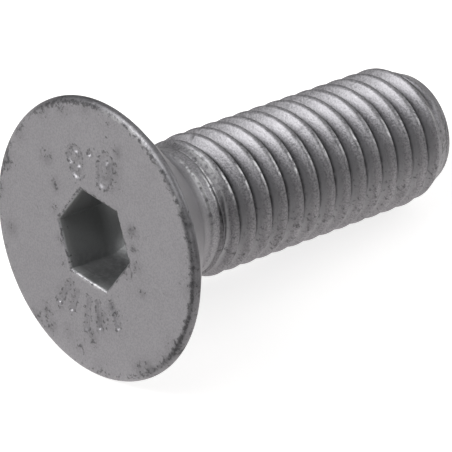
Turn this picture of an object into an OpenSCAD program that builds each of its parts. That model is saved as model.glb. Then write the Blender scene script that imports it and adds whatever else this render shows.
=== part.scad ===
/* [Head] */
// Largest diameter of the head, at its rim
head_d = 19.6; // [17:0.1:22]
// Diameter of the flat front face, inside the rounded rim
face_d = 18.5; // [15:0.1:18.8]
// How far the rounded rim reaches back from the front face
rim_round = 0.42; // [0.2:0.02:0.8]
// Width of the plain band at the largest diameter
rim_band = 0.05; // [0.02:0.01:0.5]
// Full angle of the cone under the head
cone_angle = 90; // [80:1:100]

/* [Socket] */
// Size of the hexagon socket across its flats
socket_af = 6; // [4:0.1:7]
// Depth of the socket's corners, from the front face
socket_depth = 3.9; // [2:0.1:4.4]
// Full angle of the cone that ends the socket
socket_point_angle = 120; // [110:1:160]
// Width of the bevel round the socket's mouth
mouth_bevel = 0.12; // [0.05:0.01:0.3]
// Turn of the socket about the screw, away from two level flats
socket_turn = 1.3; // [-30:0.1:30]

/* [Shank] */
// Length of the whole screw, from the front face to the tip
screw_l = 30; // [22:0.5:60]
// Diameter of the plain neck under the head
neck_d = 8.9; // [8.5:0.05:9.2]
// Radius of the hollow between the cone and the neck
neck_hollow = 1.7; // [0.3:0.05:2.5]
// Length of the neck, from the end of the cone to the first groove
neck_l = 1.2; // [1:0.1:4]

/* [Thread] */
// Diameter over the crests
crest_d = 9.8; // [9.6:0.05:10]
// Diameter at the bottom of the grooves
root_d = 8.16; // [7.9:0.02:8.3]
// Distance from one crest to the next
pitch = 1.5; // [1.25:0.05:1.75]
// Width of a crest's flat top
crest_w = 0.3; // [0.15:0.01:0.35]
// Full angle between the two flanks of a groove
flank_angle = 60; // [50:1:60]
// Turn of the thread about the screw
thread_turn = 62; // [0:1:359]
// Length over which the thread rises out of the neck
runout_l = 2.5; // [1:0.1:4]

/* [Point] */
// Length of the tapered point
point_l = 2.3; // [1:0.1:4]
// Diameter of the point where its edge starts to round
point_d = 7.74; // [7:0.02:8]
// Radius of the edge round the flat end
point_round = 0.25; // [0.1:0.05:0.6]

/* [Hidden] */
$fn = 96;
zinc_grey = [0.56, 0.56, 0.58];

head_r = head_d / 2;
face_r = face_d / 2;
neck_r = neck_d / 2;
crest_r = crest_d / 2;
root_r = root_d / 2;
point_r = point_d / 2;

// Distances from the front face, along the screw
cone_start = rim_round + rim_band;
cone_end = cone_start + (head_r - neck_r) / tan(cone_angle / 2);
neck_end = cone_end + neck_l;
taper_start = screw_l - point_l;
taper_end = screw_l - point_round;

// The thread's ridge, with its foot sunk in the core. One facet's turn doesn't divide a circle,
// so that the facets of neighbouring turns are staggered.
facet_turn = 16;
sunk = 0.3;
start_sunk = 0.1;
crest_spare = 0.03;
ridge_start = neck_end - pitch / 2;
facets = floor((screw_l - ridge_start) / pitch * 360 / facet_turn);

// The lying screw rests on the head's rim and on the thread's last crests
lean = atan((head_r - crest_r) / (taper_start - cone_start));

function arc(mid, r, from, to, n) = [for (i = [0 : n]) let (a = from + (to - from) * i / n)
    mid + r * [cos(a), sin(a)]];

// Radius and distance from the front face, from the face's edge to the largest diameter
function rim_arc(n) = [for (i = [0 : n]) let (a = 90 * i / n)
    [face_r + (head_r - face_r) * sin(a), rim_round * (1 - cos(a))]];

// The hollow touches both the cone and the neck
function hollow_arc(n) = arc([neck_r + neck_hollow, cone_end + neck_hollow * tan(cone_angle / 4)],
    neck_hollow, 180 + cone_angle / 2, 180, n);

function point_outline(n) = concat(
    [[crest_r, taper_start]],
    arc([point_r - point_round, taper_end], point_round, 0, 90, n),
    [[0, screw_l]]);

module core() {
    runout = [[neck_r, neck_end], [root_r, neck_end + runout_l / 2]];
    rotate_extrude() intersection() {
        polygon(concat([[0, 0]], rim_arc(6), [[head_r, cone_start]], hollow_arc(6), runout,
            [[root_r, screw_l], [0, screw_l]]));
        polygon(concat([[0, 0], [head_r + 1, 0], [head_r + 1, neck_end], [crest_r, neck_end]],
            point_outline(4)));
    }
}

// One cross-section of the ridge: its foot, its crest and its other foot
function ridge_ring(i) = let (
    a = i * facet_turn,
    along = ridge_start + pitch * a / 360,
    rise = min(1, (along - ridge_start) / runout_l),
    low = neck_r - start_sunk,
    top = low + (crest_r + crest_spare - low) * rise,
    foot = root_r - sunk,
    half = crest_w / 2,
    spread = half + (top - foot) * tan(flank_angle / 2))
    [for (p = [[foot, -spread], [top, -half], [top, half], [foot, spread]])
        [p.x * cos(a), p.x * sin(a), along + p.y]];

module ridge() {
    corners = [for (i = [0 : facets]) each ridge_ring(i)];
    sides = [for (i = [0 : facets - 1]) for (k = [0 : 3])
        let (near = 4 * i, far = 4 * (i + 1), next = (k + 1) % 4)
        each [[near + k, near + next, far + next], [near + k, far + next, far + k]]];
    ends = [[3, 2, 1, 0], [for (k = [0 : 3]) 4 * facets + k]];
    polyhedron(corners, concat(sides, ends));
}

module thread() {
    intersection() {
        rotate(thread_turn) ridge();
        rotate_extrude() polygon(concat([[0, cone_end], [crest_r, cone_end]], point_outline(4)));
    }
}

module socket() {
    corner_r = socket_af / 2 / cos(30);
    clear = 1;
    bevel_l = 0.5;
    rotate(90 - socket_turn) {
        intersection() {
            translate([0, 0, -clear]) cylinder(h = clear + screw_l, r = corner_r, $fn = 6);
            rotate_extrude() polygon([[0, -clear], [corner_r, -clear], [corner_r, socket_depth],
                [0, socket_depth + corner_r / tan(socket_point_angle / 2)]]);
        }
        translate([0, 0, mouth_bevel - bevel_l])
            cylinder(h = 2 * bevel_l, r1 = corner_r + bevel_l, r2 = corner_r - bevel_l, $fn = 6);
    }
}

module screw() {
    color(zinc_grey) rotate([0, 90 + lean, 0]) union() {
        difference() {
            core();
            socket();
        }
        thread();
    }
}

screw();
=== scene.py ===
"""A countersunk socket screw with a grey zinc flake coat, lying on a pale floor."""
import math

import bpy
import numpy as np
from mathutils import Euler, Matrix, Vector


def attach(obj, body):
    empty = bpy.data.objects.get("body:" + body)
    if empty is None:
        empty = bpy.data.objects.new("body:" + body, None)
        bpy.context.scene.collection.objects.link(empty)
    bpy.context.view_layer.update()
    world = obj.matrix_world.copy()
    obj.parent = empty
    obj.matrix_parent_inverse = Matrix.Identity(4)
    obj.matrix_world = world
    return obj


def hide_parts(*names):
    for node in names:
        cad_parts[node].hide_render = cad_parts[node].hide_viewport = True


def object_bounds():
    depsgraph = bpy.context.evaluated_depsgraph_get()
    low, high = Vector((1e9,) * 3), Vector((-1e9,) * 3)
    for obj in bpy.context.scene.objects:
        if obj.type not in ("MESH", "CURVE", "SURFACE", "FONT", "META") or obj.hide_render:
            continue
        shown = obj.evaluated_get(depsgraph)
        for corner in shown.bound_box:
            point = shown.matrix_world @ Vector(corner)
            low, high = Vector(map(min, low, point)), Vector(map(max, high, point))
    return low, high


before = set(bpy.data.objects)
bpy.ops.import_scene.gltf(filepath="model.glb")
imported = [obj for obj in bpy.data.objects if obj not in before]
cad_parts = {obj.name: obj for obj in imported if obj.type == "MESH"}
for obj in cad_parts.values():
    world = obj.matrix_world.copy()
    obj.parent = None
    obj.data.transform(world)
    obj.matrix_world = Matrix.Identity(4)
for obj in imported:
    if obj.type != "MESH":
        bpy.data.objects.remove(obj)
cad_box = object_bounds()

# Sizes of the screw, in millimetres, as in the part's source. The head is a hundredth smaller, so that its
# smooth round stays inside the source's facets, and the point's edge is rounder.
HEAD_R = 9.79
FACE_R = 9.25
RIM_ROUND = 0.42
RIM_BAND = 0.05
CONE_HALF = math.radians(45)
SOCKET_FLAT_R = 3.0
SOCKET_DEPTH = 3.9
SOCKET_POINT_HALF = math.radians(60)
MOUTH_BEVEL = 0.12
SOCKET_TURN = math.radians(90 - 1.3)
SCREW_L = 30.0
NECK_R = 4.45
NECK_HOLLOW = 1.7
NECK_L = 1.2
CREST_R = 4.9
ROOT_R = 4.08
PITCH = 1.5
CREST_W = 0.3
FLANK = math.tan(math.radians(30))
CREST_ROUND = 0.26
CREST_HALF = CREST_ROUND * math.cos(math.radians(30))
THREAD_TURN = math.radians(62)
RUNOUT_L = 2.5
START_SUNK = 0.1
FOOT_BLEND = 0.04
POINT_L = 2.3
POINT_R = 4.07
POINT_ROUND = 0.5

SOCKET_CORNER_R = SOCKET_FLAT_R / math.cos(math.pi / 6)
MOUTH_FLAT_R = SOCKET_FLAT_R + MOUTH_BEVEL
CONE_START = RIM_ROUND + RIM_BAND
CONE_END = CONE_START + (HEAD_R - NECK_R) / math.tan(CONE_HALF)
NECK_END = CONE_END + NECK_L
HOLLOW_REACH = NECK_HOLLOW * math.tan(CONE_HALF / 2)
HOLLOW_END = CONE_END + HOLLOW_REACH
TAPER_START = SCREW_L - POINT_L
TAPER_END = SCREW_L - POINT_ROUND
TAPER_SLOPE = (CREST_R - POINT_R) / (TAPER_END - TAPER_START)
RIDGE_START = NECK_END - PITCH / 2
LEAN = math.atan((HEAD_R - CREST_R) / (TAPER_START - CONE_START))

# Where the rolled thread begins: a low bead round the neck, a fine seam and a first ridge pushed
# towards the thread. A pair of numbers says where a change begins and ends.
DIP = (5.0, 6.1)
BEAD_FROM = 6.62
BEAD_EDGE = (BEAD_FROM - 0.1, BEAD_FROM + 0.1)
BEAD_RISE = 0.12
SEAM_AT = 7.42
SEAM_DEPTH = 0.09
SEAM_HALF = 0.05
SEAM_SHUT = 0.85
SEAM_CLOSING = (222, 245)
HELIX_FROM = 7.52
FIRST_PUSH = 0.3
PUSH_ENDING = (NECK_END + 0.3, NECK_END + 1.3)
CORE_FALL = NECK_END + 0.4

# Between the seam and the first ridge the groove isn't rolled in, on the side where the thread starts
FILL_LOW = 4.4
FILL_HIGH = 4.74
FILL_MIDDLE = math.radians(190)
FILL_COSINES = (0.5, 0.85)

# Where the groove fades out in the tapered point, its depth before that, and how much sooner it fades on one
# side, with the side's middle and half width in degrees
FADING = (TAPER_START + 0.6, TAPER_START + 1.9)
FADE_DEPTH = 0.85
FADE_SOONER = 1.25
FADE_SIDE = (262, 42)

# Mesh density: columns round the shank, twice as many round the face, rows in one turn of thread,
# and steps from one end of each other stretch of the surface to its other end
COLUMNS = 204
FACE_COLUMNS = 2 * COLUMNS
TURN_ROWS = np.array([-0.15, -0.1, -0.05, 0, 0.05, 0.1, 0.15, 0.21, 0.28, 0.35, 0.42, 0.5, 0.58, 0.65,
                      0.72, 0.79])
SPARE_TURNS = 1.5
STEPS = {"floor": 4, "wall": 5, "bevel": 3, "face": 69, "rim": 8, "cone": 13, "hollow": 9, "neck": 25,
         "edge": 6, "end": 6}
WELD_DECIMALS = 5

# The face has more rows where the marks are: shares of its rows, and of its width from the mouth to the rim
FACE_ROW_SHARES = [0, 0.68, 0.88, 1]
FACE_WIDTH_SHARES = [0, 0.57, 0.85, 1]

# The fine burr just outside the socket's mouth: its height, how far out it is and its half width
BURR_RISE = 0.018
BURR_OUT = 0.12
BURR_HALF = 0.08

# Stamped marks. The numbers' feet point outwards, those of the strokes inwards. A mark's edge slopes between
# two distances from its line, and a line counts only within an angle of this cosine.
NUMBER_SIZE = 1.9
NUMBER_FOOT = 6.3
DECIMAL_RISE = 0.25
STROKE_FOOT = 4.4
MARK_DEPTH = 0.13
MARK_EDGE = (0.07, 0.265)
MARK_COSINE = 0.8
FAR = 9.0

# The plain strokes below the socket: angle and length
STROKES = [(22, 1.9), (11, 1.6), (356, 2.2), (344, 1.7), (326, 1.6)]

# Knocks on the rim: angle, radius, half width and depth. From some depth on they are fully dark.
KNOCKS = [(232.5, 9.5, 0.17, 0.13), (236.5, 9.62, 0.16, 0.08), (171.5, 9.45, 0.2, 0.06),
          (291, 9.4, 0.25, 0.06), (297, 9.5, 0.2, 0.06), (312, 9.35, 0.22, 0.05), (141, 9.4, 0.2, 0.05),
          (205, 9.6, 0.15, 0.05)]
KNOCK_DARK = 0.11

# Dirty patches on the face: angle, radius, half width in millimetres and strength
SMUDGES = [(136, 9.3, 0.8, 0.7), (150, 9.5, 0.9, 0.8), (165, 9.4, 0.7, 0.6), (250, 9.5, 0.8, 0.7),
           (263, 9.6, 0.9, 0.8), (293, 9.5, 0.8, 1.0), (304, 9.5, 0.7, 0.7), (315, 9.3, 0.8, 0.9),
           (359, 8.3, 0.7, 0.7), (345, 9.1, 0.8, 0.6), (100, 9.0, 0.7, 0.9), (118, 9.2, 0.7, 0.5),
           (69, 8.4, 0.6, 0.6), (86, 9.2, 0.6, 0.5), (352, 6.9, 0.6, 0.7), (270, 4.2, 0.6, 0.6),
           (190, 5.0, 0.9, 0.6), (20, 5.4, 1.0, 0.5), (340, 5.6, 0.9, 0.7), (8, 7.6, 0.7, 0.5),
           (125, 6.6, 0.6, 0.7), (117, 4.7, 0.5, 0.8), (96, 4.1, 0.4, 0.8), (26, 8.0, 0.8, 0.7),
           (190, 6.0, 0.6, 0.8), (188, 7.3, 0.5, 0.8), (235, 4.1, 0.5, 0.9), (250, 4.0, 0.4, 0.8),
           (280, 3.8, 0.5, 0.9), (329, 4.9, 0.6, 0.9), (351, 7.3, 0.5, 0.9), (20, 6.8, 0.5, 0.7),
           (20, 8.6, 0.6, 0.9), (28, 9.2, 0.6, 0.9), (63, 3.4, 0.4, 0.9), (285, 5.2, 0.4, 0.7),
           (179, 8.9, 0.5, 0.7), (320, 8.9, 0.6, 0.8), (40, 3.9, 0.4, 0.7)]

# Dark spots on the thread: angle, distance along, half width in millimetres and strength
SPOTS = [(164, 9.44, 0.13, 1.0), (196, 11.36, 0.11, 0.9), (220.5, 18.76, 0.11, 0.9),
         (229.5, 20.42, 0.1, 1.0), (208, 21.74, 0.12, 0.7), (245.5, 19.12, 0.1, 0.7),
         (254, 19.48, 0.14, 0.9), (198.5, 17.02, 0.12, 0.6)]

# Painted glints on the thread's crests, on the side that faces a lamp: angle, distance along, half length in
# degrees. Each stays on its own turn of the thread, and near the crest by a share of the pitch.
CREST_GLINTS = [(222, 20.45, 6), (229, 23.45, 3), (224, 17.45, 4), (231, 14.46, 5), (217, 11.4, 5)]
GLINT_ALONG = 0.5
GLINT_HALF = 0.06

# Lines round one side of the shank: distance along, half width, the side's middle and half width in degrees,
# and strength. Dark lines are painted shade in the first groove and on the point's edge, bright lines are
# painted highlights on the bead's and the seam's edges.
DARK_LINES = [(7.72, 0.11, 245, 20, 0.8), (29.35, 0.1, 250, 40, 0.5)]
BRIGHT_LINES = [(BEAD_FROM, 0.1, 215, 30, 0.9), (SEAM_AT + 0.1, 0.05, 208, 26, 0.9),
                (7.95, 0.25, 200, 25, 0.45)]
# Painted shade in the hollow just under the bead: distance along, half width, the side's middle and half
# width in degrees, and strength
PAINTED_SHADE_LINES = [(6.3, 0.2, 212, 16, 0.5)]

# The rim is more worn on some sides: middle and half width in degrees, and strength
RIM_SIDES = [(150, 28, 1.0), (285, 45, 1.0), (95, 15, 1.0), (208, 18, 0.7)]

# Bounds of the front face, the socket and the shank, for their wear and their painted light and shade
FRONT_TO = 0.6
FRONT_FROM_R = 3.1
SOCKET_FROM = 0.05
SOCKET_TO = 6.5
SOCKET_WITHIN_R = 3.48
SHANK_FROM = 5

MM = 0.001
TO_ROW = np.array([[-math.sin(LEAN), 0, -math.cos(LEAN)], [0, 1, 0], [math.cos(LEAN), 0, -math.sin(LEAN)]])


def angles(count):
    """Column angles from down towards +Y, from a corner of the socket, all the way round."""
    return SOCKET_TURN + np.arange(count + 1) * 2 * math.pi / count


def steps(low, high, name):
    """Even steps along a stretch of the surface, one to a row, without the first end."""
    return np.linspace(low, high, STEPS[name] + 1)[1:, None]


def smooth_step(x, low, high):
    t = np.clip((x - low) / (high - low), 0, 1)
    return t * t * (3 - 2 * t)


def between(x, rise, fall):
    """One between a rise and a fall, each given by where it begins and ends."""
    return smooth_step(x, *rise) - smooth_step(x, *fall)


def bump(x, middle, half):
    """A soft hill, one high, about as wide as twice its half."""
    return np.exp(-((x - middle) / half) ** 2)


def soft_max(a, b, blend):
    """The larger of two heights, with the inner corner between them rounded."""
    return blend * np.logaddexp(a / blend, b / blend)


def largest(*layers):
    """The largest of some layers at each point."""
    return np.max(layers, axis=0)


def turns_from_start(angle, along):
    """Distance from the ridge's start towards the tip, as a share of the pitch."""
    pushed = along - FIRST_PUSH * (1 - smooth_step(along, *PUSH_ENDING))
    return (pushed - RIDGE_START) / PITCH - (angle - THREAD_TURN) / (2 * math.pi)


def turns_from_crest(angle, along):
    """Signed distance from the nearest crest towards the tip, as a share of the pitch."""
    turns = turns_from_start(angle, along)
    return turns - np.round(turns)


def first_fill(angle, along, core):
    """How much metal the groove's first turn leaves standing above the core."""
    turns = turns_from_start(angle, along)
    side = smooth_step(np.cos(angle - FILL_MIDDLE), *FILL_COSINES) * ((turns > 0) & (turns < 1))
    ramp = FILL_LOW + (FILL_HIGH - FILL_LOW) * np.clip(turns, 0, 1) ** 2
    return side * np.maximum(ramp - core, 0)


def faded(angle, along):
    """How far the groove has faded out in the tapered point, from 0 to 1."""
    sooner = FADE_SOONER * bump(np.degrees(angle), *FADE_SIDE)
    return smooth_step(along + sooner, *FADING) * (along > TAPER_START)


def seam_share(angle):
    """How deep the seam is at an angle, as a share: it is nearly shut where the first groove opens."""
    return 1 - SEAM_SHUT * smooth_step(np.degrees(angle) % 360, *SEAM_CLOSING)


def bead_step(along):
    """How far the hollow and the neck lie below the bead."""
    return BEAD_RISE * between(along, DIP, BEAD_EDGE)


def point_radius(along):
    """Radius of the tapered point and its rounded edge."""
    taper = CREST_R - (along - TAPER_START) * TAPER_SLOPE
    past = np.clip(along - TAPER_END, 0, POINT_ROUND)
    edge = POINT_R - POINT_ROUND + np.sqrt(POINT_ROUND ** 2 - past ** 2)
    return np.where(along > TAPER_END, edge, taper)


def thread_radius(angle, along):
    """Radius of the neck's, thread's and point's surface at an angle and a distance from the front face."""
    across = PITCH * np.abs(turns_from_crest(angle, along))
    rise = np.clip((along - RIDGE_START) / RUNOUT_L, 0, 1)
    top = NECK_R - START_SUNK + (CREST_R - NECK_R + START_SUNK) * rise
    flank = top - (across - CREST_W / 2) / FLANK
    within = np.minimum(across, CREST_HALF)
    crest = top - CREST_ROUND + np.sqrt(CREST_ROUND ** 2 - within ** 2)
    ridge = np.minimum(flank, crest)
    core = NECK_R + (ROOT_R - NECK_R) * np.clip((along - CORE_FALL) / (RUNOUT_L / 2), 0, 1)
    core = core - SEAM_DEPTH * seam_share(angle) * bump(along, SEAM_AT, SEAM_HALF) - bead_step(along)
    outside = np.minimum(point_radius(along), CREST_R)
    core = np.maximum(core, outside - FADE_DEPTH * (1 - faded(angle, along)))
    core = core + first_fill(angle, along, core)
    body = soft_max(ridge, core, FOOT_BLEND)
    return np.where(along < SEAM_AT, core, np.minimum(body, outside))


def hexagon_radius(angle, flat_r):
    """Distance from the axis to a hexagon's side, with a corner at the socket's turn."""
    turn = (angle - SOCKET_TURN) % (math.pi / 3) - math.pi / 6
    return flat_r / np.cos(turn)


def socket_floor(radius):
    """Distance along of the cone that ends the socket."""
    return SOCKET_DEPTH + (SOCKET_CORNER_R - radius) / math.tan(SOCKET_POINT_HALF)


def ring_distance(u, v, middle, radius, stretch):
    """Distance from an oval line with a middle, a radius across and a stretch along."""
    return np.abs(np.hypot(u, (v - middle) / stretch) - radius)


def eight(u, v):
    """Distance from the line of a plain figure eight, its feet at v = 0."""
    low = ring_distance(u, v, 0.27 * NUMBER_SIZE, 0.27 * NUMBER_SIZE, 1.0)
    high = ring_distance(u, v, 0.76 * NUMBER_SIZE, 0.22 * NUMBER_SIZE, 1.05)
    return np.minimum(low, high)


def nought(u, v):
    """Distance from the line of a plain nought."""
    return ring_distance(u, v, 0.5 * NUMBER_SIZE, 0.27 * NUMBER_SIZE, 1.8)


def decimal_point(u, v):
    return np.hypot(u, v - DECIMAL_RISE)


def bar(u, v, length):
    """Distance from a straight stroke, its foot at v = 0."""
    return np.hypot(u, v - np.clip(v, 0, length))


# The plain number above the socket: angle and line
NUMBERS = [(151, eight), (166.5, decimal_point), (181.5, nought)]


def marks_distance(radius, angle):
    """Distance from the nearest line of the plain number above the socket and the strokes below it."""
    nearest = np.full(np.broadcast(radius, angle).shape, FAR)
    for degrees, line in NUMBERS:
        turn = angle - math.radians(degrees)
        distance = line(radius * np.sin(turn), NUMBER_FOOT - radius * np.cos(turn))
        nearest = np.minimum(nearest, np.where(np.cos(turn) > MARK_COSINE, distance, FAR))
    for degrees, length in STROKES:
        turn = angle - math.radians(degrees)
        distance = bar(radius * np.sin(turn), radius * np.cos(turn) - STROKE_FOOT, length)
        nearest = np.minimum(nearest, np.where(np.cos(turn) > MARK_COSINE, distance, FAR))
    return nearest


def knocks_depth(radius, angle):
    depth = np.zeros(np.broadcast(radius, angle).shape)
    for degrees, place, half, deep in KNOCKS:
        turn = angle - math.radians(degrees)
        gap = np.hypot(place * np.sin(turn), radius - place)
        depth += np.where(np.cos(turn) > 0, deep * bump(gap, 0, half), 0)
    return depth


def face_height(radius, angle):
    """How far the front face stands above its plane: a burr along the socket's mouth, marks and knocks."""
    mouth = hexagon_radius(angle, MOUTH_FLAT_R)
    burr = BURR_RISE * bump(radius - mouth, BURR_OUT, BURR_HALF)
    marks = MARK_DEPTH * (1 - smooth_step(marks_distance(radius, angle), *MARK_EDGE))
    return burr - marks - knocks_depth(radius, angle)


class Surface:
    """Collects points in the screw's own frame and the faces between them."""

    def __init__(self):
        self.points = []
        self.faces = []
        self.count = 0

    def add(self, radius, angle, along):
        """Adds a grid of points, closed into rounds, and gives their numbers."""
        radius, angle, along = np.broadcast_arrays(radius, angle, along)
        block = np.stack([radius * np.cos(angle), radius * np.sin(angle), along], -1)
        self.points.append(block.reshape(-1, 3))
        numbers = np.arange(self.count, self.count + radius.size).reshape(radius.shape)
        self.count += radius.size
        return numbers

    def join(self, numbers):
        """Faces between the rows and columns of a grid of points."""
        corners = [numbers[:-1, :-1], numbers[:-1, 1:], numbers[1:, 1:], numbers[1:, :-1]]
        self.faces += np.stack(corners, -1).reshape(-1, 4).tolist()

    def stitch(self, fine, coarse):
        """Faces between a round of points and one with half as many."""
        for i in range(len(coarse) - 1):
            self.faces.append([fine[2 * i], fine[2 * i + 1], coarse[i]])
            self.faces.append([fine[2 * i + 1], coarse[i + 1], coarse[i]])
            self.faces.append([fine[2 * i + 1], fine[2 * i + 2], coarse[i + 1]])

    def mesh(self, name):
        """Welds points that coincide, drops faces without area and gives a mesh and its points."""
        points = np.concatenate(self.points)
        rounded = np.round(points, WELD_DECIMALS)
        _, first, number = np.unique(rounded, axis=0, return_index=True, return_inverse=True)
        number = number.ravel()
        kept = []
        for face in self.faces:
            ring = list(dict.fromkeys(int(number[corner]) for corner in face))
            if len(ring) > 2:
                kept.append(ring)
        mesh = bpy.data.meshes.new(name)
        mesh.from_pydata((points[first] @ TO_ROW * MM).tolist(), [], kept)
        mesh.validate()
        return mesh, points[first]


def front_rows(fine):
    """Radius and distance along, row by row, of the socket and the front face."""
    wall = hexagon_radius(fine, SOCKET_FLAT_R)
    floor_r = wall * np.linspace(0, 1, STEPS["floor"] + 1)[:, None]
    foot = socket_floor(wall)
    wall_z = foot + (MOUTH_BEVEL - foot) * steps(0, 1, "wall")
    bevel = steps(0, 1, "bevel")
    bevel_r = hexagon_radius(fine, SOCKET_FLAT_R + MOUTH_BEVEL * bevel)
    mouth = hexagon_radius(fine, MOUTH_FLAT_R)
    outwards = np.interp(steps(0, 1, "face"), FACE_ROW_SHARES, FACE_WIDTH_SHARES)
    face_r = mouth + (FACE_R - mouth) * outwards
    parts = [(floor_r, socket_floor(floor_r)), (wall, wall_z), (bevel_r, MOUTH_BEVEL * (1 - bevel)),
             (face_r, -face_height(face_r, fine))]
    rows = [np.stack(np.broadcast_arrays(r, z), -1) for r, z in parts]
    return np.concatenate(rows)


def back_rows(coarse):
    """Radius and distance along, row by row, from the rim to just past the seam at the thread's start."""
    outline = []
    for a in steps(0, math.pi / 2, "rim")[:, 0]:
        outline.append((FACE_R + (HEAD_R - FACE_R) * math.sin(a), RIM_ROUND * (1 - math.cos(a))))
    cone_stop = CONE_END - HOLLOW_REACH * math.cos(CONE_HALF)
    for along in np.linspace(CONE_START, cone_stop, STEPS["cone"] + 1)[:-1]:
        outline.append((HEAD_R - (along - CONE_START) * math.tan(CONE_HALF), along))
    for a in np.linspace(CONE_HALF, 0, STEPS["hollow"] + 1):
        outline.append((NECK_R + NECK_HOLLOW * (1 - math.cos(a)), HOLLOW_END - NECK_HOLLOW * math.sin(a)))
    outline = np.array(outline)[:, None, :]
    radius = outline[..., 0] + 0 * coarse
    along = outline[..., 1] + 0 * coarse
    radius -= knocks_depth(radius, coarse) * (along < CONE_START) + bead_step(along)
    neck = steps(HOLLOW_END, HELIX_FROM, "neck") + 0 * coarse
    return np.concatenate([radius, thread_radius(coarse, neck)]), np.concatenate([along, neck])


def shank_rows(coarse):
    """Distance along, row by row, of points that follow the helix and stop level at both ends."""
    start = RIDGE_START - PITCH * (THREAD_TURN - SOCKET_TURN) / (2 * math.pi)
    start -= PITCH * math.ceil((start - HELIX_FROM) / PITCH + SPARE_TURNS)
    turns = math.ceil((TAPER_END - start) / PITCH) + 1
    base = np.concatenate([start + PITCH * (i + TURN_ROWS) for i in range(turns)])
    helix = base[:, None] + PITCH * (coarse - SOCKET_TURN) / (2 * math.pi)
    return np.clip(helix, HELIX_FROM, TAPER_END)


def end_rows():
    """Radius and distance along of the point's rounded edge and flat end."""
    rows = [(POINT_R, TAPER_END)]
    for a in steps(0, math.pi / 2, "edge")[:, 0]:
        rows.append((POINT_R - POINT_ROUND * (1 - math.cos(a)), TAPER_END + POINT_ROUND * math.sin(a)))
    for i in range(STEPS["end"] - 1, -1, -1):
        rows.append(((POINT_R - POINT_ROUND) * i / STEPS["end"], SCREW_L))
    return np.array(rows)


def make_screw():
    surface = Surface()
    coarse = angles(COLUMNS)[None, :]
    fine = angles(FACE_COLUMNS)[None, :]
    front = front_rows(fine)
    rows = surface.add(front[..., 0], fine, front[..., 1])
    surface.join(rows)
    radius, along = back_rows(coarse)
    back = surface.add(radius, coarse, along)
    surface.stitch(rows[-1], back[0])
    surface.join(back)
    helix = shank_rows(coarse)
    surface.join(surface.add(thread_radius(coarse, helix), coarse, helix))
    end = end_rows()
    surface.join(surface.add(end[:, :1], coarse, end[:, 1:]))
    mesh, points = surface.mesh("screw_body")
    piece = bpy.data.objects.new("screw_body", mesh)
    bpy.context.scene.collection.objects.link(piece)
    mesh.polygons.foreach_set("use_smooth", [True] * len(mesh.polygons))
    for name, values in wear_and_painted_light(points).items():
        layer = mesh.attributes.new(name=name, type="FLOAT", domain="POINT")
        layer.data.foreach_set("value", values.astype(np.float32))
    return piece


def smudges(radius, angle):
    soil_and_shade = np.zeros(radius.shape)
    for degrees, place, half, strength in SMUDGES:
        turn = angle - math.radians(degrees)
        gap = np.hypot(radius * np.sin(turn), radius * np.cos(turn) - place)
        soil_and_shade = np.maximum(soil_and_shade, strength * bump(gap, 0, half))
    return soil_and_shade


def spots(degrees, along):
    dark = np.zeros(along.shape)
    for middle, place, half, strength in SPOTS:
        gap = np.hypot(CREST_R * np.radians(degrees - middle), along - place)
        dark = np.maximum(dark, strength * bump(gap, 0, half))
    return dark


def crest_glints(degrees, along, turns):
    glint = np.zeros(along.shape)
    for middle, place, half in CREST_GLINTS:
        glint = np.maximum(glint, bump(degrees, middle, half) * bump(along, place, GLINT_ALONG))
    return glint * bump(turns, 0.0, GLINT_HALF)


def lines_round(degrees, along, lines):
    wear_and_light = np.zeros(along.shape)
    for place, half, middle, side_half, strength in lines:
        wear_and_light = np.maximum(wear_and_light, strength * bump(along, place, half) * bump(degrees, middle, side_half))
    return wear_and_light


def face_wear_and_painted_light(radius, angle):
    """Wear and painted light of the front face: painted shade on the rim's round, dark flecks near the rim
    and marks, dirt, knocks, and a painted highlight on the rim's edge and the burr.

    The numbers are radii and widths in millimetres, angles in degrees and shares of the full strength.
    """
    degrees = np.degrees(angle)
    rim = smooth_step(radius, 8.9, 9.4) * (1 - 0.6 * smooth_step(radius, 9.55, 9.7))
    side = sum(strength * bump(degrees, middle, half) for middle, half, strength in RIM_SIDES)
    # Painted shade on the rim's rounded edge and along the inner edge of its round, over part of the way
    # round
    band = (0.65 - 0.3 * smooth_step(degrees, 212, 226)) * smooth_step(radius, 9.35, 9.5)
    band += bump(radius, 9.45, 0.14) * smooth_step(degrees, 205, 230)
    band = np.clip(band, 0, 1) * between(degrees, (120, 140), (290, 330))
    near_mark = marks_distance(radius, angle)
    # Painted highlight along the rim's edge, and on the burr at the lower side of the socket's mouth
    bright = bump(radius, 9.45, 0.1) * (0.38 * bump(degrees, 190, 18) + 0.4 * bump(degrees, 227, 4))
    mouth = bump(radius - hexagon_radius(angle, MOUTH_FLAT_R), 0.0, 0.14)
    burr = 0.4 * mouth * bump((degrees + 180) % 360, 178, 24)
    return {"rim": rim * (0.45 + 0.55 * np.clip(side, 0, 1)),
            "band": band,
            "marks": largest(bump(near_mark, 0.3, 0.12), 0.5 * bump(near_mark, 0, 0.8)),
            "knocks": np.clip(knocks_depth(radius, angle) / KNOCK_DARK, 0, 1),
            "bright": largest(bright, burr),
            "mouth": mouth - burr,
            "soil_and_shade": smudges(radius, angle)}


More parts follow.
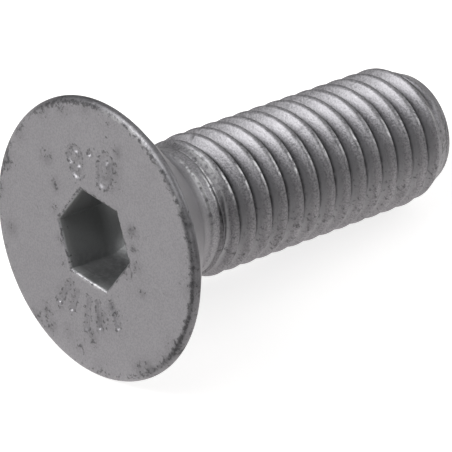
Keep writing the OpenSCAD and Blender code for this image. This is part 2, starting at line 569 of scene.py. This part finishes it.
def shank_wear_and_painted_light(radius, angle, along):
    """Wear and painted light of the neck, thread and point: painted shade in roots, along crests' far edges
    and in dark lines, painted light at the grooves' feet, painted highlights on crests and bright lines,
    dirt and dark spots.

    The numbers are shares of the pitch across the thread, millimetres along it, angles in degrees and shares
    of the full strength.
    """
    degrees = np.degrees(angle)
    turns = turns_from_crest(angle, along)
    threaded = smooth_step(along, NECK_END - 0.2, NECK_END + 0.3) * (radius < CREST_R + 0.01)
    threaded *= (1 - faded(angle, along)) * (along < TAPER_END)
    first_root = (1 - smooth_step(along, 7.9, 8.5)) * (1 - smooth_step(degrees, 226, 238))
    # Painted shade: dark lines in the thread's roots and in the seam, where these recesses lie in shade
    root = threaded * largest(bump(turns, -0.425, 0.04), bump(turns, -0.5, 0.05), bump(turns, 0.5, 0.05))
    seam = 0.5 * seam_share(angle) * bump(along, SEAM_AT, SEAM_HALF)
    # Painted shade along the crests' far edges, where the far flank and the groove beyond lie in shade;
    # weaker on the lower side and where crests catch the light
    first_edge = (1 - smooth_step(along, 7.7, 8.1)) * (1 - smooth_step(degrees, 230, 240))
    edge = largest(bump(turns, 0.115, 0.06 + 0.04 * bump(degrees, 240, 14)), 0.3 * bump(turns, 0.02, 0.08))
    edge *= threaded * (1 - 0.7 * smooth_step(degrees, 258, 290)) * (1 - 0.9 * first_edge)
    edge *= 1 - 0.65 * between(degrees, (194, 206), (232, 246))
    # Painted light at the foot of the near flank, lifting the groove's shade, on the lower side only
    groove = threaded * bump(turns, -0.33, 0.08) * smooth_step(degrees, 215, 240)
    # Painted glints on the crests' near corners, on the side that faces a lamp
    crests = threaded * bump(turns, 0.03, 0.06) * bump(degrees, 222, 13)
    crests *= 1 - 0.4 * smooth_step(along, 9, 20)
    # Dirt on the lower side, near the thread's start and on crests, and painted shade on one side of the
    # point's edge and in the hollow
    soil_and_shade = largest(0.55 * bump(degrees, 285, 30) * smooth_step(along, 6.5, 8),
                   0.35 * bump(along, 7.6, 0.7),
                   lines_round(degrees, along, PAINTED_SHADE_LINES),
                   (0.1 + 0.7 * bump(degrees, 255, 25)) * smooth_step(along, 28.0, 28.5),
                   0.75 * threaded * bump(turns, 0.0, 0.12) * bump(degrees, 212, 16))
    # The root layer is painted shade: the thread's roots, the seam, the first groove and the point's edge
    return {"root": largest(root * (1 - first_root), seam, lines_round(degrees, along, DARK_LINES)),
            "edge": edge,
            "groove": groove,
            # The bright layer is painted highlight: glints on crests and the bead's and seam's bright lines
            "bright": largest(crests, threaded * crest_glints(degrees, along, turns),
                              lines_round(degrees, along, BRIGHT_LINES)),
            "knocks": spots(degrees, along),
            "soil_and_shade": soil_and_shade,
            "grainy": smooth_step(along, *BEAD_EDGE)}


def wear_and_painted_light(points):
    """Where the coat is dark with dirt and with painted shade, and where painted light and highlights
    brighten it, from 0 to 1 at each point.
    """
    radius = np.hypot(points[:, 0], points[:, 1])
    angle = np.arctan2(points[:, 1], points[:, 0]) % (2 * math.pi)
    along = points[:, 2]
    front = (along < FRONT_TO) & (radius > FRONT_FROM_R)
    inside = (radius < SOCKET_WITHIN_R) & (along > SOCKET_FROM) & (along < SOCKET_TO)
    shank = (along > SHANK_FROM) & ~inside
    # Painted shade, darker on the socket's lower wall, carried by the root layer
    low_wall = bump((np.degrees(angle) + 180) % 360, 180, 35)
    layers = {}
    for place, wear_and_light in ((front, face_wear_and_painted_light(radius, angle)),
                        (inside, {"inside": 1.0, "root": 0.75 * low_wall}),
                        (shank, shank_wear_and_painted_light(radius, angle, along))):
        for name, values in wear_and_light.items():
            layers[name] = np.maximum(layers.get(name, 0.0), place * values)
    layers["grainy"] = 0.45 + 0.55 * layers["grainy"]
    return layers


class Nodes:
    """Short ways to add shader nodes to a material."""

    def __init__(self, tree):
        self.tree = tree

    def put(self, kind, **settings):
        node = self.tree.nodes.new(kind)
        for name, value in settings.items():
            setattr(node, name, value)
        return node

    def plug(self, value, socket):
        """Sets a constant on a socket, or links another node's output to it."""
        if isinstance(value, (int, float, tuple)):
            socket.default_value = value
        else:
            self.tree.links.new(value, socket)

    def math(self, operation, a, b):
        node = self.put("ShaderNodeMath", operation=operation)
        self.plug(a, node.inputs[0])
        self.plug(b, node.inputs[1])
        return node.outputs[0]

    def times(self, a, b):
        return self.math("MULTIPLY", a, b)

    def larger(self, first, *others):
        for other in others:
            first = self.math("MAXIMUM", first, other)
        return first

    def noise(self, place, scale, detail, roughness):
        node = self.put("ShaderNodeTexNoise")
        self.plug(place, node.inputs["Vector"])
        self.plug(scale, node.inputs["Scale"])
        self.plug(detail, node.inputs["Detail"])
        self.plug(roughness, node.inputs["Roughness"])
        return node.outputs["Fac"]

    def ramp(self, value, low, high, to_low=0.0, to_high=1.0):
        node = self.put("ShaderNodeMapRange", interpolation_type="SMOOTHSTEP")
        for number, name in ((value, "Value"), (low, "From Min"), (high, "From Max"),
                             (to_low, "To Min"), (to_high, "To Max")):
            self.plug(number, node.inputs[name])
        return node.outputs["Result"]

    def blend(self, share, a, b):
        node = self.put("ShaderNodeMix", data_type="RGBA")
        self.plug(share, node.inputs["Factor"])
        colour_inputs = [s for s in node.inputs if s.type == "RGBA"]
        self.plug(a, colour_inputs[0])
        self.plug(b, colour_inputs[1])
        return [s for s in node.outputs if s.type == "RGBA"][0]

    def layer(self, name):
        return self.put("ShaderNodeAttribute", attribute_name=name).outputs["Fac"]

    def bump(self, height, distance, strength):
        node = self.put("ShaderNodeBump")
        self.plug(strength, node.inputs["Strength"])
        self.plug(distance, node.inputs["Distance"])
        self.plug(height, node.inputs["Height"])
        return node.outputs["Normal"]


COAT_LIGHT = (0.42, 0.412, 0.432, 1)
COAT_DARK = (0.24, 0.235, 0.247, 1)
INSIDE = (0.335, 0.341, 0.344, 1)
# A paler coat: painted light at the foot of the thread's near flank, where the groove shades it
GROOVE = (0.44, 0.44, 0.455, 1)
# Near black, for dirt, flecks and dark knocks, and also for painted shade in the thread's roots, along
# crests' far edges, in the hollow and on the rim's round
DIRT_AND_SHADE = (0.025, 0.025, 0.027, 1)
# A near white painted highlight, for glints on crests, the rim's edge, the burr and the bead
PAINTED_HIGHLIGHT = (0.95, 0.95, 0.96, 1)
METALLIC = 0.75
ROUGHNESS = (0.39, 0.57)
GRAIN_HEIGHT = 0.00003

# Dark flecks show where their noise passes a level, which is lower on worn and dirty coat and where shade is
# painted
FLECK_LEVEL = 0.7
FLECK_DROP = 0.23


def coat_material():
    """Matte flaky grey, with painted shade in the grooves and along crests' edges, painted light at the
    grooves' feet, dark specks near edges and painted highlights on crests, the rim, the burr and the bead.
    """
    material = bpy.data.materials.new("zinc_flake_coat")
    material.use_nodes = True
    nodes = Nodes(material.node_tree)
    shader = material.node_tree.nodes["Principled BSDF"]
    place = nodes.put("ShaderNodeTexCoord").outputs["Object"]
    grain = nodes.noise(place, 7500.0, 2.0, 0.7)
    cloud = nodes.noise(place, 500.0, 3.0, 0.6)
    specks = nodes.noise(place, 3300.0, 4.0, 0.65)
    lumps = nodes.noise(place, 2600.0, 2.0, 0.5)

    tone = nodes.ramp(nodes.math("ADD", nodes.times(grain, 0.85), nodes.times(cloud, 0.15)), 0.36, 0.64)
    tone = nodes.times(nodes.math("SUBTRACT", tone, 0.5), nodes.layer("grainy"))
    colour = nodes.blend(nodes.math("ADD", tone, 0.5), COAT_DARK, COAT_LIGHT)
    # Dark smears from dirt, and from painted shade in the hollow and on the point's edge
    smear_and_shade = nodes.times(nodes.layer("soil_and_shade"), nodes.ramp(cloud, 0.35, 0.65, 0.0, 0.5))
    wear_and_light = nodes.larger(nodes.layer("rim"), nodes.times(nodes.layer("marks"), 0.8), nodes.layer("mouth"),
                        nodes.layer("edge"), nodes.layer("soil_and_shade"))
    level = nodes.math("SUBTRACT", FLECK_LEVEL, nodes.times(wear_and_light, FLECK_DROP))
    fleck = nodes.ramp(nodes.math("SUBTRACT", specks, level), -0.05, 0.08)
    # Painted shade in the thread's roots and along crests' far edges, broken up by noise
    root = nodes.times(nodes.layer("root"), nodes.ramp(lumps, 0.25, 0.6, 0.65, 1.0))
    edge = nodes.times(nodes.layer("edge"), nodes.ramp(lumps, 0.3, 0.6, 0.8, 1.0))
    # Painted highlights, broken up by noise
    highlight_share = nodes.times(nodes.layer("bright"), nodes.ramp(lumps, 0.39, 0.55))
    # In turn: smears of dirt and painted shade, painted light at the grooves' feet, the socket's colour,
    # painted shade on the rim's round, dirt flecks, painted shade in roots and along edges, dark knocks and
    # spots, and painted highlights
    for share, over in ((smear_and_shade, DIRT_AND_SHADE),
                        (nodes.layer("groove"), GROOVE),
                        (nodes.layer("inside"), INSIDE),
                        (nodes.times(nodes.layer("band"), 0.65), DIRT_AND_SHADE),
                        (nodes.times(fleck, 0.6), DIRT_AND_SHADE),
                        (nodes.times(root, 0.85), DIRT_AND_SHADE),
                        (edge, DIRT_AND_SHADE),
                        (nodes.times(nodes.layer("knocks"), 0.85), DIRT_AND_SHADE),
                        (highlight_share, PAINTED_HIGHLIGHT)):
        colour = nodes.blend(share, colour, over)
    nodes.plug(colour, shader.inputs["Base Color"])

    nodes.plug(METALLIC, shader.inputs["Metallic"])
    sheen = nodes.ramp(grain, 0.3, 0.7, *ROUGHNESS)
    # Rougher coat where shade is painted, in roots and along crests' edges
    shade_roughness = nodes.times(nodes.larger(root, edge), 0.3)
    nodes.plug(nodes.math("ADD", sheen, shade_roughness), shader.inputs["Roughness"])
    nodes.plug(nodes.bump(grain, GRAIN_HEIGHT, nodes.layer("grainy")), shader.inputs["Normal"])
    return material


# The floor glows, so that it looks white to the camera. To other rays it glows more near the screw.
PAPER = (0.6, 0.59, 0.58, 1)
WHITE = (1, 1, 1, 1)
FLOOR_TINT = (1, 0.965, 0.95, 1)
FLOOR_HALF = 3.0
FLOOR_MIDDLE = (0.02, 0, cad_box[0][2])
FLOOR_GLOW = 0.75
FLOOR_LIGHT = 0.18
FLOOR_LIGHT_NEAR = 0.7
FLOOR_FALL = (0.01, 0.035)
WORLD_LIGHT = 0.065


def floor_material():
    """Pale paper that looks white to the camera and keeps the screw's soft shadow."""
    material = bpy.data.materials.new("white_floor")
    material.use_nodes = True
    nodes = Nodes(material.node_tree)
    material.node_tree.nodes.clear()
    paper = nodes.put("ShaderNodeBsdfDiffuse")
    nodes.plug(PAPER, paper.inputs["Color"])
    seen = nodes.put("ShaderNodeLightPath").outputs["Is Camera Ray"]
    distance = nodes.put("ShaderNodeVectorMath", operation="DISTANCE")
    nodes.plug(nodes.put("ShaderNodeTexCoord").outputs["Object"], distance.inputs[0])
    nodes.plug(FLOOR_MIDDLE, distance.inputs[1])
    light = nodes.ramp(distance.outputs["Value"], *FLOOR_FALL, FLOOR_LIGHT_NEAR, FLOOR_LIGHT)
    glow = nodes.put("ShaderNodeEmission")
    nodes.plug(nodes.blend(seen, FLOOR_TINT, WHITE), glow.inputs["Color"])
    nodes.plug(nodes.ramp(seen, 0.0, 1.0, light, FLOOR_GLOW), glow.inputs["Strength"])
    both = nodes.put("ShaderNodeAddShader")
    nodes.plug(paper.outputs[0], both.inputs[0])
    nodes.plug(glow.outputs[0], both.inputs[1])
    nodes.plug(both.outputs[0], nodes.put("ShaderNodeOutputMaterial").inputs[0])
    return material


def make_floor():
    low = cad_box[0][2]
    corners = [(x * FLOOR_HALF, y * FLOOR_HALF, low) for x, y in ((-1, -1), (1, -1), (1, 1), (-1, 1))]
    mesh = bpy.data.meshes.new("floor")
    mesh.from_pydata(corners, [], [(0, 1, 2, 3)])
    floor = bpy.data.objects.new("floor", mesh)
    bpy.context.scene.collection.objects.link(floor)
    mesh.materials.append(floor_material())


def make_world():
    world = bpy.data.worlds.new("studio")
    world.use_nodes = True
    background = world.node_tree.nodes["Background"]
    background.inputs["Color"].default_value = WHITE
    background.inputs["Strength"].default_value = WORLD_LIGHT
    bpy.context.scene.world = world


# Square soft boxes that look at the middle of the screw: azimuth and elevation in degrees, size and power
LIGHTS = [("key", 152, 42, 0.16, 1.22), ("left", 185, 52, 0.2, 0.26), ("front", 300, 52, 0.25, 0.17),
          ("top", 0, 85, 0.2, 0.14), ("behind", 35, 35, 0.25, 0.19), ("right", 332, 31, 0.28, 0.4)]
LIGHT_DISTANCE = 0.4
LIGHT_TARGET = Vector((0.012, 0, -0.002))


def add_light(name, azimuth, elevation, size, power):
    a = math.radians(azimuth)
    e = math.radians(elevation)
    way = Vector((math.cos(e) * math.cos(a), math.cos(e) * math.sin(a), math.sin(e)))
    data = bpy.data.lights.new(name, "AREA")
    data.shape = "SQUARE"
    data.size = size
    data.energy = power
    lamp = bpy.data.objects.new(name, data)
    lamp.location = LIGHT_TARGET + LIGHT_DISTANCE * way
    lamp.rotation_mode = "QUATERNION"
    lamp.rotation_quaternion = (-way).to_track_quat("-Z", "Y")
    bpy.context.scene.collection.objects.link(lamp)


# The photograph's viewpoint: far away, with a long lens
CAMERA_PLACE = (-0.15622, -0.18148, 0.18118)
CAMERA_DOWN = 36.946
CAMERA_TURN = -42.811
CAMERA_LENS = 362.75
CAMERA_SENSOR = 36
CAMERA_CLIP = (0.01, 10)


def make_camera():
    data = bpy.data.cameras.new("camera")
    data.sensor_width = CAMERA_SENSOR
    data.lens = CAMERA_LENS
    data.clip_start, data.clip_end = CAMERA_CLIP
    camera = bpy.data.objects.new("camera", data)
    camera.location = CAMERA_PLACE
    camera.rotation_euler = Euler((math.radians(90 - CAMERA_DOWN), 0, math.radians(CAMERA_TURN)))
    bpy.context.scene.collection.objects.link(camera)
    bpy.context.scene.camera = camera


make_camera()
make_world()
make_floor()
for light in LIGHTS:
    add_light(*light)
screw = make_screw()
screw.data.materials.append(coat_material())
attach(screw, "root")
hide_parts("screw")
bpy.context.scene.view_settings.view_transform = "Standard"
